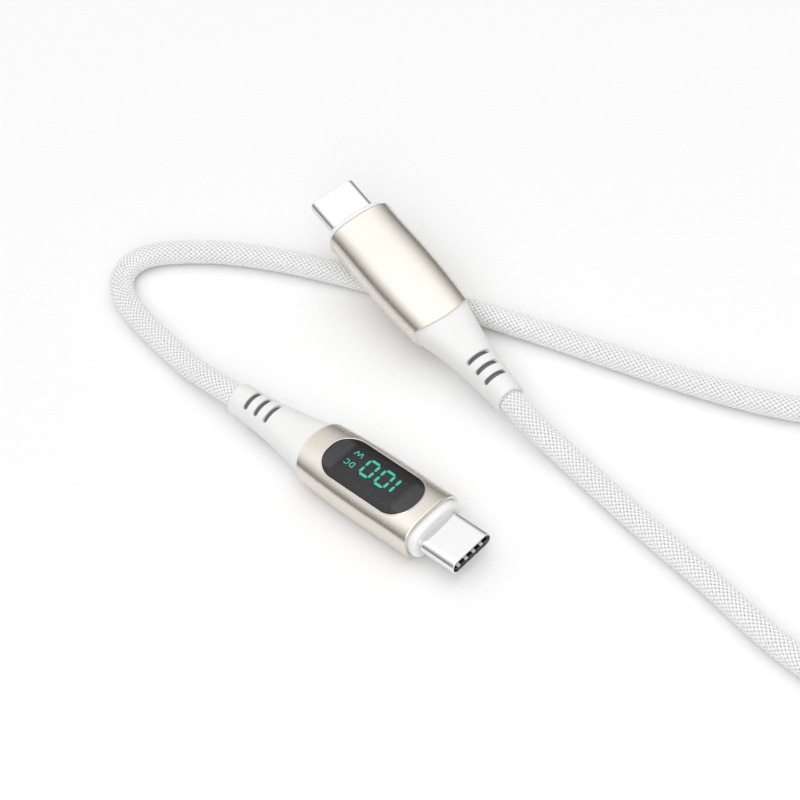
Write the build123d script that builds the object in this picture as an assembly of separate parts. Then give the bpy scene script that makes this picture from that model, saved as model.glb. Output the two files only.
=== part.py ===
from build123d import *
import os
from math import cos, pi, radians, sin, sqrt, tan

# A one metre USB-C lead whose one plug holds a power meter with a lit display.
# Frame: the display plug lies on the surface z = 0 with its tip towards +X and its
# window facing +Z. The origin is under the middle of that plug, on the surface.
# Every plug is drawn in a frame of its own: x = 0 is the front face of its nose
# collar, +X points to the tip and z = 0 is the middle of its thickness.

# Driving dimensions, in millimetres
shell_width = 8.25
shell_height = 2.40
shell_wall = 0.25
shell_exposed = 6.65
shell_buried = 5.0

collar_proud = 1.35
barrel_width = 11.6
barrel_thickness = 7.0
barrel_squareness = 2.8  # the power in the section's curve: 2 is an ellipse, more is squarer
section_points = 48
barrel_length = 22.4
barrel_wall = 0.6
taper_width = 1.0
taper_thickness = 0.3
taper_start = 0.45
back_arch = 1.7
rim_break = 0.25
collar_gap = 0.07

boot_length = 18.4
boot_start_width = 10.0
boot_start_thickness = 6.2
boot_end = 5.2
boot_tenon = 1.6
slit_pitch = 2.2
slit_width = 0.85
slit_from_end = 3.6
slit_half_angle = 38

window_length = 18.0
window_width = 8.1
window_middle = -12.7
gasket_width = 0.15

board_thickness = 0.8
board_width = 8.4
board_length = 15.9
plain_board_length = 8.0

digit_width = 2.3
digit_height = 3.25
digit_stroke = 0.42
legend_stroke = 0.16
digit_pitch = 3.1
first_digit = -8.3
digit_offset = 1.0
digit_gap = 0.10
housing_top = 2.5
housing_width = 5.9
housing_front = -6.8
housing_back = -20.2

contact_count = 12
contact_pitch = 0.5
contact_width = 0.22
contact_thickness = 0.12
slot_width = 6.9
slot_height = 0.9
clearance = 0.02

cord_diameter = 3.9
socket_depth = 2.6
core_bore = 1.75

plain_nose = (-31.0, 34.0, 9.8)
plain_yaw = 167.1
plain_pitch = 7.8
plain_roll = -4.3

coil_centre = (90.0, 52.0)
coil_outer = 27.5
coil_inner = 15.8
coil_upper = 5.75
tie_angle = 45
tie_width = 8.0
tie_thickness = 0.6

# Sizes worked out from those
barrel_front = -collar_proud
barrel_back = barrel_front - barrel_length
boot_back = barrel_back - boot_length
cord_radius = cord_diameter / 2
plug_shift = (-boot_back - shell_exposed) / 2
display_place = Location((plug_shift, 0, barrel_thickness / 2))
plain_place = (
    Location(plain_nose)
    * Rotation(0, 0, plain_yaw)
    * Rotation(0, -plain_pitch, 0)
    * Rotation(plain_roll, 0, 0)
)

# The cord's route, one list for each stretch that isn't coiled. Z is the cord's middle.
display_route = [
    (boot_back + socket_depth + plug_shift, 0.0, 3.5),
    (-29.0, 0.0, 3.45),
    (-35.5, 0.3, 2.2),
    (-42.5, 1.3, 1.95),
    (-50.3, 2.5, 1.95),
    (-57.3, 4.5, 1.95),
    (-60.6, 8.2, 1.95),
    (-60.4, 12.4, 1.95),
    (-56.8, 16.3, 1.95),
    (-50.2, 21.1, 1.95),
    (-41.6, 25.3, 1.95),
    (-32.0, 28.9, 1.95),
    (-21.0, 32.35, 1.95),
    (-9.0, 35.85, 1.95),
    (4.0, 39.2, 1.95),
    (18.0, 42.45, 1.95),
    (32.0, 45.9, 1.95),
    (45.0, 50.5, 1.95),
    (56.5, 57.9, 1.95),
    (66.0, 66.0, 1.95),
    (74.0, 73.8, 1.95),
]
plain_route = [
    (103.0, 33.2, 5.75),
    (96.0, 25.6, 4.6),
    (88.5, 18.8, 2.2),
    (79.0, 14.6, 1.95),
    (67.0, 15.3, 1.95),
    (55.5, 17.6, 1.95),
    (44.0, 19.2, 1.95),
    (33.0, 20.9, 1.95),
    (23.5, 22.6, 2.0),
    (17.5, 23.2, 3.0),
]


# Shapes used again and again
def block(x_range, y_range, z_range):
    size = [high - low for low, high in (x_range, y_range, z_range)]
    middle = [(high + low) / 2 for low, high in (x_range, y_range, z_range)]
    return Pos(*middle) * Box(*size)


def rounded_bar(width, height, corner, x_front, x_back):
    section = Plane.YZ.offset(x_back) * RectangleRounded(width, height, corner)
    return extrude(section, x_front - x_back)


def slot_bar(width, height, x_front, x_back):
    section = Plane.YZ.offset(x_back) * SlotOverall(width, height)
    return extrude(section, x_front - x_back)


def round_bar(radius, x_front, x_back, y=0.0, z=0.0):
    section = Plane.YZ.offset(x_back) * Pos(y, z) * Circle(radius)
    return extrude(section, x_front - x_back)


def oval(width, thickness, squareness=barrel_squareness):
    """A crowned oval section, fuller than an ellipse and with no flats."""
    points = []
    for index in range(section_points):
        angle = 2 * pi * index / section_points
        across, up = cos(angle), sin(angle)
        y = width / 2 * abs(across) ** (2 / squareness)
        z = thickness / 2 * abs(up) ** (2 / squareness)
        points.append((y if across > 0 else -y, z if up > 0 else -z))
    return make_face(Spline(*points, periodic=True))


def oval_bar(width, thickness, x_front, x_back):
    return extrude(Plane.YZ.offset(x_back) * oval(width, thickness), x_front - x_back)


def flat_prism(outline, z_low, z_high):
    return extrude(Plane.XY.offset(z_low) * outline, z_high - z_low)


def strip(middle_line, thickness, width, y):
    """A bent strip of sheet metal, drawn in the XZ plane and centred on y."""
    above = [(x, z + thickness / 2) for x, z in middle_line]
    below = [(x, z - thickness / 2) for x, z in reversed(middle_line)]
    side = make_face(Polyline(*[(x, y - width / 2, z) for x, z in above + below], close=True))
    return extrude(side, width, dir=(0, 1, 0))


def upside_down(shape):
    return mirror(shape, Plane.XY)


# The metal plug shell and what it holds
def usb_shell():
    outer = slot_bar(shell_width, shell_height, shell_exposed, -shell_buried)
    front_edges = outer.faces().sort_by(Axis.X)[-1].edges()
    outer = fillet(front_edges, 0.12)
    inner = slot_bar(shell_width - 2 * shell_wall, shell_height - 2 * shell_wall, 8, -shell_buried - 1)
    return outer - inner


def contact_places():
    middle = (contact_count - 1) / 2
    return [(index - middle) * contact_pitch for index in range(contact_count)]


def finger_places():
    return [-2.4, -0.8, 0.8, 2.4]


def contact_housing():
    inner_width = shell_width - 2 * shell_wall - clearance
    inner_height = shell_height - 2 * shell_wall - clearance
    body = slot_bar(inner_width, inner_height, shell_exposed - 0.3, -shell_buried)
    half_slot = slot_height / 2
    body -= block((-0.5, 8), (-slot_width / 2, slot_width / 2), (-half_slot, half_slot))
    body -= block((-shell_buried - 1, 0), (-3.2, 3.2), (-0.12, 0.12))
    for y in contact_places():
        groove = block((-0.5, 5.4), (y - 0.15, y + 0.15), (0.2, 0.8))
        tunnel = block((-shell_buried - 1, -0.4), (y - 0.13, y + 0.13), (0.34, 0.72))
        body -= groove + tunnel
        body -= upside_down(groove + tunnel)
    for y in finger_places():
        pocket = block((5.0, 8), (y - 0.4, y + 0.4), (0.3, 0.85))
        body -= pocket
        body -= upside_down(pocket)
    for side in (-1, 1):
        channel = sorted((side * 3.0, side * 4.0))
        body -= block((-1.0, 5.5), channel, (-0.4, 0.4))
    return body


def upper_contacts():
    line = [(-6.6, 0.46), (-5.1, 0.46), (-4.7, 0.55), (-0.4, 0.60), (3.4, 0.36), (4.1, 0.36), (4.9, 0.60)]
    return [strip(line, contact_thickness, contact_width, y) for y in contact_places()]


def lower_contacts():
    return [upside_down(contact) for contact in upper_contacts()]


def mid_plate():
    return block((-shell_buried - 0.05, -0.6), (-3.1, 3.1), (-0.1, 0.1))


def latch_arm(side):
    """A retention spring at one edge of the slot, with its hook turned inwards."""
    outline = Polyline(
        (-0.9, 3.28 * side),
        (4.3, 3.28 * side),
        (4.55, 3.02 * side),
        (4.95, 3.02 * side),
        (5.2, 3.50 * side),
        (-0.9, 3.50 * side),
        close=True,
    )
    return flat_prism(make_face(outline), -0.3, 0.3)


def ground_springs():
    line = [(5.1, 0.52), (5.5, 0.46), (5.8, 0.5), (6.3, 0.76)]
    fingers = [strip(line, 0.1, 0.6, y) for y in finger_places()]
    return fingers + [upside_down(finger) for finger in fingers]


# The body of a plug
def taper_at(x):
    """0 along the front of the barrel, growing smoothly to 1 at its back."""
    share = ((barrel_front - x) / barrel_length - taper_start) / (1 - taper_start)
    return max(0.0, share) ** 2


def barrel_solid(inset):
    """The barrel's outside, or the hollow inside it when inset is its wall."""
    width = barrel_width - 2 * inset
    thickness = barrel_thickness - 2 * inset
    taper_front = barrel_front - taper_start * barrel_length
    sections = [Plane.YZ.offset(barrel_front) * oval(width, thickness)]
    steps = 5
    for step in range(steps + 1):
        x = taper_front - (taper_front - barrel_back + back_arch) * step / steps
        shape = oval(width - taper_width * taper_at(x), thickness - taper_thickness * taper_at(x))
        sections.append(Plane.YZ.offset(x) * shape)
    return loft(sections)


def back_cut():
    """What is cut off behind the barrel's back edge, which bows out over the boot."""
    side = barrel_width / 2 + 1
    far = barrel_back - back_arch - 5
    edge = ThreePointArc(
        (barrel_back, barrel_width / 2), (barrel_back - back_arch, 0), (barrel_back, -barrel_width / 2)
    )
    rest = Polyline(
        (barrel_back, -barrel_width / 2),
        (barrel_back, -side),
        (far, -side),
        (far, side),
        (barrel_back, side),
        (barrel_back, barrel_width / 2),
    )
    return flat_prism(make_face(edge + rest), -barrel_thickness, barrel_thickness)


def barrel_hollow():
    return barrel_solid(barrel_wall)


def barrel_skin():
    outer = barrel_solid(0) - back_cut()
    outer = fillet(outer.faces().sort_by(Axis.X)[-1].edges(), rim_break)
    return outer - barrel_hollow()


def window_outline(inset):
    shape = RectangleRounded(
        window_length - 2 * inset, window_width - 2 * inset, (window_width / 2 - 0.3) - inset
    )
    return Pos(window_middle, 0) * shape


def window_prism(inset):
    return flat_prism(window_outline(inset), 0.5, barrel_thickness)


def barrel_with_window():
    return barrel_skin() - window_prism(0)


def window_lens():
    return (barrel_skin() & window_prism(gasket_width + clearance)).solids()[0]


def window_gasket():
    ring = window_prism(clearance / 2) - window_prism(gasket_width)
    return (barrel_skin() & ring).solids()[0]


def nose_collar():
    width = barrel_width - 2 * (barrel_wall + collar_gap)
    thickness = barrel_thickness - 2 * (barrel_wall + collar_gap)
    body = oval_bar(width, thickness, 0, -shell_buried)
    body = fillet(body.faces().sort_by(Axis.X)[-1].edges(), 0.55)
    return body - slot_bar(shell_width + clearance, shell_height + clearance, 1, -shell_buried - 1)


def boot_size(share):
    """Width and thickness of the boot, share of its length from the barrel."""
    left = 1 - share
    swell = 0.85 * left**2 + 0.15 * left
    width = boot_end + (boot_start_width - boot_end) * swell
    thickness = boot_end + (boot_start_thickness - boot_end) * swell
    return width, thickness


def boot_body():
    sections = []
    steps = 7
    for step in range(steps + 1):
        share = step / steps
        width, thickness = boot_size(share)
        squareness = barrel_squareness + (2 - barrel_squareness) * min(1, 1.6 * share)
        x = barrel_back - boot_length * share
        sections.append(Plane.YZ.offset(x) * oval(width, thickness, squareness))
    body = loft(sections)
    return fillet(body.faces().sort_by(Axis.X)[0].edges(), 0.25)


def slit_cutters():
    reach = 6.0
    side = reach * sin(radians(slit_half_angle))
    rise = reach * cos(radians(slit_half_angle))
    wedge = make_face(Polyline((0, 0), (-side, rise), (0, 2 * reach), (side, rise), close=True))
    sector = (Circle(reach) - Circle(core_bore + 0.45)) & wedge
    cutters = []
    for index in range(3):
        x = boot_back + slit_from_end + index * slit_pitch
        slit = extrude(Plane.YZ.offset(x - slit_width / 2) * sector, slit_width)
        for angle in (-slit_half_angle, slit_half_angle):
            end = Pos(0, 0, core_bore + 0.45) * Cylinder(
                slit_width / 2, reach, align=(Align.CENTER, Align.CENTER, Align.MIN)
            )
            slit += Pos(x, 0, 0) * Rotation(angle, 0, 0) * end
        cutters += [slit, upside_down(slit)]
    return cutters


def strain_relief():
    tenon_width = barrel_width - taper_width - 2 * barrel_wall - 0.3
    tenon_thickness = barrel_thickness - taper_thickness - 2 * barrel_wall - 0.3
    body = boot_body() - (barrel_solid(0) - back_cut())
    body += oval_bar(tenon_width, tenon_thickness, barrel_back + boot_tenon, barrel_back - back_arch)
    body -= round_bar(core_bore, barrel_back + 2, boot_back - 1)
    body -= round_bar(cord_radius + 0.03, boot_back + socket_depth, boot_back - 1)
    for cutter in slit_cutters():
        body -= cutter
    return body


# The meter's electronics
def circuit_board(length):
    back = -shell_buried - 0.1 - length
    half_width = board_width / 2
    half_thickness = board_thickness / 2
    return block((back, -shell_buried - 0.1), (-half_width, half_width), (-half_thickness, half_thickness))


def chip(x, y, length, width, height):
    top = -board_thickness / 2
    return block((x - length / 2, x + length / 2), (y - width / 2, y + width / 2), (top - height, top))


def board_capacitors():
    places = [(-8.2, 2.9), (-8.2, -2.9), (-14.2, 3.2), (-14.2, -3.2), (-18.6, 2.6), (-18.6, -2.6)]
    return [chip(x, y, 1.0, 0.5, 0.5) for x, y in places]


def bar_outline(middle, length, upright):
    """One bar of a digit: a thin strip with pointed ends."""
    half = length / 2
    side = digit_stroke / 2
    above = [(-half, 0), (side - half, side), (half - side, side)]
    points = above + [(-x, -y) for x, y in above]
    if upright:
        points = [(-y, x) for x, y in points]
    return [(x + middle[0], y + middle[1]) for x, y in points]


def digit_bars():
    """The seven bars of one digit, named as displays name them, in the reader's axes."""
    across = digit_width / 2 - digit_stroke / 2
    up = digit_height / 2 - digit_stroke / 2
    wide = 2 * across - 2 * digit_gap
    tall = up - 2 * digit_gap
    return {
        "a": bar_outline((0, up), wide, False),
        "b": bar_outline((across, up / 2), tall, True),
        "c": bar_outline((across, -up / 2), tall, True),
        "d": bar_outline((0, -up), wide, False),
        "e": bar_outline((-across, -up / 2), tall, True),
        "f": bar_outline((-across, up / 2), tall, True),
        "g": bar_outline((0, 0), wide, False),
    }


def on_display(points, middle):
    """The reader's right is -X and the reader's up is -Y."""
    turned = [(middle[0] - x, middle[1] - y) for x, y in points]
    return make_face(Polyline(*turned, close=True))


def display_bars(lit):
    """Outlines of the bars that are lit for a reading of 100, or of all the others."""
    shown = ["bc", "abcdef", "abcdef"]
    outlines = []
    for index, names in enumerate(shown):
        middle = (first_digit - index * digit_pitch, digit_offset)
        for name, points in digit_bars().items():
            if (name in names) == lit:
                outlines.append(on_display(points, middle))
    return outlines


def stroke(start, end, width):
    length = sqrt((end[0] - start[0]) ** 2 + (end[1] - start[1]) ** 2)
    side = ((start[1] - end[1]) / length * width / 2, (end[0] - start[0]) / length * width / 2)
    return [
        (start[0] + side[0], start[1] + side[1]),
        (start[0] - side[0], start[1] - side[1]),
        (end[0] - side[0], end[1] - side[1]),
        (end[0] + side[0], end[1] + side[1]),
    ]


def letter(line, middle):
    """A letter drawn as one line of even width, cut out as a single outline."""
    outline = on_display(stroke(line[0], line[1], legend_stroke), middle)
    for start, end in zip(line[1:], line[2:]):
        outline += on_display(stroke(start, end, legend_stroke), middle)
    return outline


def legend_outlines():
    """W for watts, and DC for direct current above it."""
    letter_w = [(-0.75, 0.42), (-0.45, -0.42), (0.0, 0.3), (0.45, -0.42), (0.75, 0.42)]
    bow_of_d = [(0.1, -0.42), (0.34, -0.2), (0.34, 0.2), (0.1, 0.42), (-0.38, 0.42)]
    letter_d = [(-0.3, 0.42), (-0.3, -0.42)] + bow_of_d
    upper_c = [(0.34, 0.3), (0.15, 0.42), (-0.1, 0.42), (-0.32, 0.2)]
    letter_c = upper_c + [(x, -y) for x, y in reversed(upper_c)]
    return [
        letter(letter_w, (-17.7, 2.1)),
        letter(letter_d, (-17.2, 0.0)),
        letter(letter_c, (-18.3, 0.0)),
    ]


def segment_housing():
    length = housing_front - housing_back
    outline = Pos((housing_front + housing_back) / 2, 0) * RectangleRounded(length, housing_width, 0.6)
    body = flat_prism(outline, board_thickness / 2, housing_top)
    for outline in display_bars(True) + display_bars(False):
        body -= flat_prism(outline, 0, housing_top + 1)
    for outline in legend_outlines():
        body -= flat_prism(outline, housing_top - 0.4, housing_top + 1)
    return body


def segment_fill(outlines, depth):
    return [flat_prism(outline, housing_top - depth, housing_top) for outline in outlines]


def segment_leds():
    """A small lamp on the board at the foot of every bar's well."""
    lamps = []
    floor = board_thickness / 2
    for outline in display_bars(True) + display_bars(False):
        middle = outline.center()
        lamps.append(Pos(middle.X, middle.Y, floor + 0.15) * Box(0.26, 0.26, 0.3))
    return lamps


# Wires and filling behind the board
def wire(radius, y, z, x_front):
    return round_bar(radius, x_front, boot_back + socket_depth, y, z)


def crimp_ring():
    front = barrel_back - 5.0
    return round_bar(core_bore + 0.5, front, front - 3.0) - round_bar(core_bore, front + 1, front - 4.0)


def inner_mould(taken):
    """Soft filling that holds the board's end and the wires, with room left for each."""
    body = rounded_bar(8.8, 5.0, 1.8, housing_back - 0.15, barrel_back + boot_tenon + 0.05)
    for shape in taken:
        body -= shape
    return body


# The cord
def corner_radii(points):
    radii = []
    for before, here, after in zip(points, points[1:], points[2:]):
        run_in = Vector(*here) - Vector(*before)
        run_out = Vector(*after) - Vector(*here)
        half_turn = radians(run_in.get_angle(run_out)) / 2
        radii.append(0.45 * min(run_in.length, run_out.length) / tan(half_turn))
    return radii


def cord_tube(name, points):
    radii = corner_radii(points)
    path = FilletPolyline(*points, radius=radii)
    tube = sweep(Plane(origin=path @ 0, z_dir=path % 0) * Circle(cord_radius), path=path)
    expected = pi * cord_radius**2 * path.length
    print(name, "length", round(path.length, 1), "volume over expected", round(tube.volume / expected, 4))
    print(name, "corner radii", [round(radius, 1) for radius in radii])
    return tube


def coil_body():
    outer = coil_outer + cord_radius
    inner = coil_inner - cord_radius
    height = coil_upper + cord_radius
    section = Pos((outer + inner) / 2, height / 2) * RectangleRounded(outer - inner, height, 1.6)
    ring = revolve(Plane.XZ * section, Axis.Z)
    return Pos(coil_centre[0], coil_centre[1], 0) * ring


def cable_tie():
    inner = coil_inner - cord_radius - 0.05
    outer = coil_outer + cord_radius + 0.05
    height = coil_upper + cord_radius + 0.05
    half = tie_width / 2
    band = block(
        (inner - tie_thickness, outer + tie_thickness), (-half, half), (0, height + tie_thickness)
    )
    band -= block((inner, outer), (-tie_width, tie_width), (tie_thickness, height))
    return Pos(coil_centre[0], coil_centre[1], 0) * Rotation(0, 0, tie_angle) * band


# Putting the plugs together
def plug_pieces(board_length_here, wire_front):
    """The pieces that both plugs have, in the plug's own frame."""
    wires = {
        "power_wire": [wire(0.42, 0.85, 0.85, wire_front)],
        "ground_wire": [wire(0.42, -0.85, 0.85, wire_front)],
        "data_wires": [wire(0.26, 0.0, 0.70, wire_front), wire(0.26, 0.0, 1.28, wire_front)],
        "signal_wire": [wire(0.26, 0.0, -0.70, wire_front)],
    }
    board = circuit_board(board_length_here)
    taken = [board] + [each for group in wires.values() for each in group]
    pieces = {
        "usb_shell": [usb_shell()],
        "contact_housing": [contact_housing()],
        "upper_contacts": upper_contacts(),
        "lower_contacts": lower_contacts(),
        "mid_plate": [mid_plate()],
        "left_latch_arm": [latch_arm(1)],
        "right_latch_arm": [latch_arm(-1)],
        "ground_springs": ground_springs(),
        "nose_collar": [nose_collar()],
        "circuit_board": [board],
        "inner_mould": [inner_mould(taken)],
        "strain_relief": [strain_relief() - crimp_ring_room()],
        "crimp_ring": [crimp_ring()],
    }
    pieces.update(wires)
    return pieces


def crimp_ring_room():
    front = barrel_back - 5.0 + clearance
    return round_bar(core_bore + 0.5 + clearance, front, front - 3.0 - 2 * clearance)


def display_plug():
    wire_front = -shell_buried - 0.1 - board_length + 0.6
    pieces = plug_pieces(board_length, wire_front)
    pieces["barrel_shell"] = [barrel_with_window()]
    pieces["window_lens"] = [window_lens()]
    pieces["window_gasket"] = [window_gasket()]
    pieces["segment_housing"] = [segment_housing()]
    pieces["lit_segments"] = segment_fill(display_bars(True), 0.5)
    pieces["unlit_segments"] = segment_fill(display_bars(False), 0.5)
    pieces["unit_legend"] = segment_fill(legend_outlines(), 0.4)
    pieces["segment_leds"] = segment_leds()
    pieces["meter_chip"] = [chip(-11.6, 0, 4.0, 4.0, 0.85)]
    pieces["current_shunt"] = [chip(-16.4, 0, 3.2, 1.6, 0.6)]
    pieces["marker_chip"] = [chip(-8.4, 0, 1.6, 1.6, 0.55)]
    pieces["board_capacitors"] = board_capacitors()
    return pieces


def plain_plug():
    wire_front = -shell_buried - 0.1 - plain_board_length + 0.6
    pieces = plug_pieces(plain_board_length, wire_front)
    pieces["barrel_shell"] = [barrel_skin()]
    pieces["marker_chip"] = [chip(-9.0, 0, 2.0, 2.0, 0.55)]
    return {"plain_" + name: shapes for name, shapes in pieces.items()}


def cord_pieces():
    coil = coil_body()
    tie = cable_tie()
    boot_mouth = [(plain_place * Pos(x, 0, 0)).position for x in (boot_back - 3.5, boot_back + socket_depth)]
    ends = [tuple(point) for point in boot_mouth]
    print("plain run ends", [[round(value, 2) for value in point] for point in ends])
    return {
        "cord_display_run": [cord_tube("display run", display_route) - coil],
        "cord_plain_run": [cord_tube("plain run", plain_route + ends) - coil],
        "cord_coil": [coil - tie],
        "cable_tie": [tie],
    }


def save(name, shapes, place):
    solids = []
    for shape in shapes:
        solids += (place * shape).solids()
    whole = solids[0] if len(solids) == 1 else Compound(children=solids)
    export_step(whole, "parts/" + name + ".step")


os.makedirs("parts", exist_ok=True)
placed = ((display_plug(), display_place), (plain_plug(), plain_place), (cord_pieces(), Location()))
for group, place in placed:
    for node, shapes in group.items():
        save(node, shapes, place)
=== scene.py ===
import math

import bmesh
import bpy
import numpy as np
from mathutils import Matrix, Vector


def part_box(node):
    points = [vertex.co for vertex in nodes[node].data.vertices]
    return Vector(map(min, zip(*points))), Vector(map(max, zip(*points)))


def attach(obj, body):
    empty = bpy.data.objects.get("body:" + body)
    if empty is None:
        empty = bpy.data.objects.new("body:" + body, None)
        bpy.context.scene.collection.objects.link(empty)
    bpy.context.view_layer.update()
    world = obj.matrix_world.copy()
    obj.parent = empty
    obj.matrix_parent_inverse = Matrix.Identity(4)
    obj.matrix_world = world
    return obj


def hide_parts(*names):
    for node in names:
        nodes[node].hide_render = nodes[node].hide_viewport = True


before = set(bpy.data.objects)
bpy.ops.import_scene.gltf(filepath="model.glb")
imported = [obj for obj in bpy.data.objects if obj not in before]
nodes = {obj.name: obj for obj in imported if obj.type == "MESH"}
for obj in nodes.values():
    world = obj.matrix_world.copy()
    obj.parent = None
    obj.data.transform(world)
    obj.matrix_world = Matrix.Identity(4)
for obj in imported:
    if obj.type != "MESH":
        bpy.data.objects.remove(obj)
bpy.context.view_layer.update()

mm = 0.001
print("frame loaded,", len(nodes), "nodes")


# camera
camera = {"place": (0.21423, -0.15241, 0.31780), "turn": (40.575, 7.786, 43.564), "lens": 123.75}


def makeCamera(look):
    data = bpy.data.cameras.new("camera")
    data.lens = look["lens"]
    data.sensor_width = 36
    data.clip_start = 0.01
    rig = bpy.data.objects.new("camera", data)
    rig.location = look["place"]
    rig.rotation_euler = [math.radians(angle) for angle in look["turn"]]
    bpy.context.collection.objects.link(rig)
    bpy.context.scene.camera = rig


makeCamera(camera)


# cord
def middleOf(name):
    # the middle of a node's box, seen from above, in mm
    low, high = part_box(name)
    return tuple(round((low[axis] + high[axis]) / 2 / mm, 2) for axis in (0, 1))


cord = {
    "diameter": 3.9,
    "coreShare": 0.885,       # the jacket under the braid, as a share of the whole
    "coilMiddle": middleOf("cord_coil"),
    "coilStart": 135,         # where the cord runs onto the coil, in degrees
    "coilEnd": -45 - 4 * 360,
    "outerTurn": 27.5,
    "turnsDown": 3,           # turns on the floor before the cord climbs on top
    "climb": 0.3,             # the share of a turn that the climb takes
    "upperHeight": 5.75,
    "pointsPerTurn": 16,
    "tieAngle": 45,
    "tieLift": 0.8,           # how much the turns rise where the strap passes under them
    "tieSpread": 18,          # how far round that rise reaches, in degrees
}

displayRoute = [
    (-21.8, 0.0, 3.5), (-29.0, 0.0, 3.45), (-35.5, 0.3, 2.2), (-42.5, 1.3, 1.95), (-50.3, 2.5, 1.95),
    (-57.3, 4.5, 1.95), (-60.6, 8.2, 1.95), (-60.4, 12.4, 1.95), (-56.8, 16.3, 1.95), (-50.2, 21.1, 1.95),
    (-41.6, 25.3, 1.95), (-32.0, 28.9, 1.95), (-21.0, 32.35, 1.95), (-9.0, 35.85, 1.95), (4.0, 39.2, 1.95),
    (18.0, 42.45, 1.95), (32.0, 45.9, 1.95), (45.0, 50.5, 1.95), (56.5, 57.9, 1.95), (66.0, 66.0, 1.95),
]
plainRoute = [
    (103.0, 33.2, 5.9), (97.0, 26.6, 5.9), (91.6, 21.4, 4.7), (86.0, 17.2, 2.1), (79.0, 14.6, 1.95),
    (67.0, 15.3, 1.95), (55.5, 17.6, 1.95), (44.0, 19.2, 1.95), (33.0, 20.9, 1.95), (23.5, 22.6, 2.0),
    (17.5, 23.2, 3.0), (13.09, 23.9, 3.6), (7.2, 25.25, 4.43),
]


def smoothStep(low, high, value):
    share = min(1.0, max(0.0, (value - low) / (high - low)))
    return share * share * (3 - 2 * share)


def turnAt(look, angle):
    # how far out and how high the cord's middle lies once it has turned to this angle
    turn = (look["coilStart"] - angle) / 360
    reach = look["outerTurn"] - look["diameter"] * (look["turnsDown"] - abs(look["turnsDown"] - turn))
    climb = smoothStep(look["turnsDown"] - look["climb"] / 2, look["turnsDown"] + look["climb"] / 2, turn)
    rest = look["diameter"] / 2
    height = rest + (look["upperHeight"] - rest) * climb
    fromTie = (angle - look["tieAngle"] + 180) % 360 - 180
    return reach, height + look["tieLift"] * math.exp(-(fromTie / look["tieSpread"]) ** 2)


def coilTurns(look):
    middleX, middleY = look["coilMiddle"]
    steps = round((look["coilStart"] - look["coilEnd"]) / 360 * look["pointsPerTurn"])
    points = []
    for step in range(steps + 1):
        angle = look["coilStart"] + (look["coilEnd"] - look["coilStart"]) * step / steps
        reach, height = turnAt(look, angle)
        side = math.radians(angle)
        points.append((middleX + reach * math.cos(side), middleY + reach * math.sin(side), height))
    return points


def makeSpline(name, points, depth):
    data = bpy.data.curves.new(name, "CURVE")
    data.dimensions = "3D"
    spline = data.splines.new("NURBS")
    spline.points.add(len(points) - 1)
    for control, place in zip(spline.points, points):
        control.co = (place[0] * mm, place[1] * mm, place[2] * mm, 1)
    spline.order_u = 3
    spline.use_endpoint_u = True
    spline.resolution_u = 8
    data.bevel_depth = depth
    data.bevel_resolution = 5
    data.use_fill_caps = True
    piece = bpy.data.objects.new(name, data)
    bpy.context.collection.objects.link(piece)
    return piece


cordPoints = displayRoute + coilTurns(cord) + plainRoute
cordCore = makeSpline("cordCore", cordPoints, cord["diameter"] / 2 * cord["coreShare"] * mm)
print("cord laid,", len(cordPoints), "control points")


# small helpers for node trees
def link(tree, start, end):
    tree.links.new(start, end)


def mathNode(tree, operation, first, second=None):
    node = tree.nodes.new("ShaderNodeMath")
    node.operation = operation
    for socket, value in zip(node.inputs, (first, second)):
        if value is None:
            continue
        if isinstance(value, (int, float)):
            socket.default_value = value
        else:
            link(tree, value, socket)
    return node.outputs[0]


def vectorNode(tree, operation, first, second=None, scale=None):
    node = tree.nodes.new("ShaderNodeVectorMath")
    node.operation = operation
    link(tree, first, node.inputs[0])
    if second is not None:
        link(tree, second, node.inputs[1])
    if scale is not None:
        link(tree, scale, node.inputs["Scale"])
    return node.outputs[0]


# braid, by geometry nodes along the cord's own line
braid = {
    "strands": 16,            # in each direction
    "pitch": 14.4,            # one strand's length of cord for a whole turn, mm
    "middle": 1.80,           # the strands' mean radius, mm
    "rise": 0.07,             # how far a strand goes up and down as it weaves, mm
    "width": 0.60,
    "dome": 0.13,
    "step": 0.225,
}


def storeAttribute(tree, geometry, name, kind, value):
    node = tree.nodes.new("GeometryNodeStoreNamedAttribute")
    node.data_type = kind
    node.domain = "POINT"
    node.inputs["Name"].default_value = name
    link(tree, geometry, node.inputs["Geometry"])
    link(tree, value, node.inputs["Value"])
    return node.outputs["Geometry"]


def readAttribute(tree, name, kind):
    node = tree.nodes.new("GeometryNodeInputNamedAttribute")
    node.data_type = kind
    node.inputs["Name"].default_value = name
    return node.outputs["Attribute"]


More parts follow.
